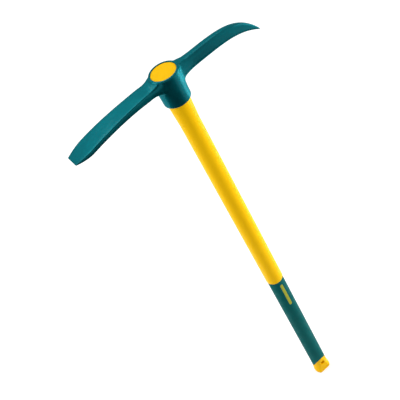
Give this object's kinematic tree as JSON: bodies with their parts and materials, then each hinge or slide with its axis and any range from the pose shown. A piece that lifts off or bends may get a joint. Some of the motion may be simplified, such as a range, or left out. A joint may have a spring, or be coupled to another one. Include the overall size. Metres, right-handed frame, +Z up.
{
  "type": "pick axe",
  "caption": "Pick axe with a forged head, one chisel arm and one pointed arm round a conical eye, on a straight layered handle with a soft lower grip and a hanging hole in its end cap.",
  "frame": {"origin": "centre of the butt face, at the lower end of the handle's axis", "axes": "+Z up along the handle to the head, +X along the pointed arm, -X along the chisel arm, Y along the hanging hole with the front at -Y"},
  "size_m": [0.424, 0.0588, 1.05],
  "materials": {
    "head_paint": "satin enamel over forged steel",
    "sheath_plastic": "satin moulded polypropylene",
    "disc_plastic": "satin moulded polypropylene",
    "foam": "closed-cell foam",
    "glass_fibre": "drawn glass fibre in resin",
    "plug_plastic": "matte",
    "grip_elastomer": "fine matte elastomer",
    "inlay_elastomer": "fine matte elastomer",
    "cap_plastic": "satin moulded polypropylene"
  },
  "bodies": {
    "handle": {"handle_sheath": "sheath_plastic", "head_end_disc": "disc_plastic", "damping_foam": "foam", "core_tube": "glass_fibre", "core_plug_head": "plug_plastic", "core_plug_butt": "plug_plastic", "grip_sleeve": "grip_elastomer", "grip_inlay": "inlay_elastomer", "end_cap": "cap_plastic"},
    "head": {"pick_head": "head_paint"}
  },
  "joints": [
    {"name": "head_slide", "type": "slide", "parent": "handle", "child": "head", "axis": [0, 0, -1], "range_m": [0, 0.98]}
  ]
}
